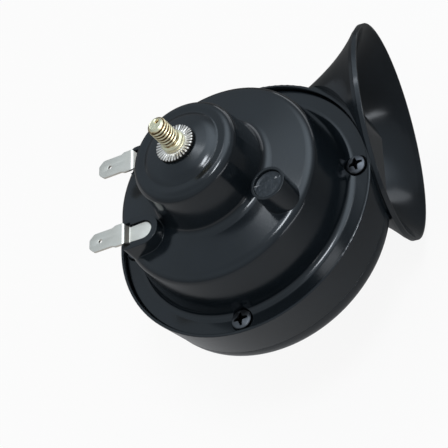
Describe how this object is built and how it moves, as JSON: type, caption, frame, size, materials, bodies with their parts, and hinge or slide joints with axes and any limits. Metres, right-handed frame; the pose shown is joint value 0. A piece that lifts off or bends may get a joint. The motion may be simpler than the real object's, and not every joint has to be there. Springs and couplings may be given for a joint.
{
  "type": "car horn",
  "caption": "Snail-shaped electric car horn: domed sound unit with a threaded mounting stud and two blade terminals, clamped to a spiral housing that opens in a side-facing bell.",
  "frame": {"origin": "on the mounting stud's axis, at the top of its plain shoulder, where the thread begins", "axes": "+Z out along the mounting stud, away from the horn; +X is the horizontal direction that the bell faces; +Y is the side that the bell is offset to"},
  "size_m": [0.09, 0.1031, 0.1043],
  "materials": {
    "black_moulding": "glossy injection moulding",
    "yellow_zinc_steel": "yellow zinc plated",
    "bright_zinc_steel": "bright zinc plated",
    "tinned_brass": "tin plated, satin",
    "black_screw_steel": "black oxide",
    "sealing_compound": "set compound, slightly rough",
    "adjuster_steel": "zinc plated, dulled",
    "magnet_steel": "bare low-carbon steel",
    "bobbin_nylon": "moulded nylon",
    "copper_winding": "enamelled copper wire",
    "diaphragm_steel": "rolled spring steel",
    "gasket_fibre": "fibre sheet",
    "laminate": "phenolic laminate",
    "spring_bronze": "rolled phosphor bronze",
    "contact_silver": "silver alloy",
    "lead_wire": "enamelled copper wire"
  },
  "bodies": {
    "root": {"adjuster_sealant": "sealing_compound", "adjusting_screw": "adjuster_steel", "armature": "magnet_steel", "armature_rivet": "magnet_steel", "breaker_screw_1": "adjuster_steel", "breaker_screw_2": "adjuster_steel", "coil_bobbin": "bobbin_nylon", "coil_lead_1": "lead_wire", "coil_lead_2": "lead_wire", "coil_winding": "copper_winding", "contact_arm": "spring_bronze", "contact_block": "laminate", "contact_spacer": "laminate", "contact_spring": "spring_bronze", "cover_screw_1": "black_screw_steel", "cover_screw_2": "black_screw_steel", "cover_screw_3": "black_screw_steel", "cover_screw_4": "black_screw_steel", "diaphragm": "diaphragm_steel", "fixed_contact": "contact_silver", "front_gasket": "gasket_fibre", "mounting_stud": "yellow_zinc_steel", "moving_contact": "contact_silver", "pole_core": "magnet_steel", "rear_cover": "black_moulding", "rear_gasket": "gasket_fibre", "serrated_washer": "bright_zinc_steel", "spiral_cover": "black_moulding", "terminal_lead": "lead_wire", "terminal_lower": "tinned_brass", "terminal_post_lower": "tinned_brass", "terminal_post_upper": "tinned_brass", "terminal_upper": "tinned_brass", "trumpet_housing": "black_moulding", "yoke_cup": "magnet_steel"}
  },
  "joints": []
}
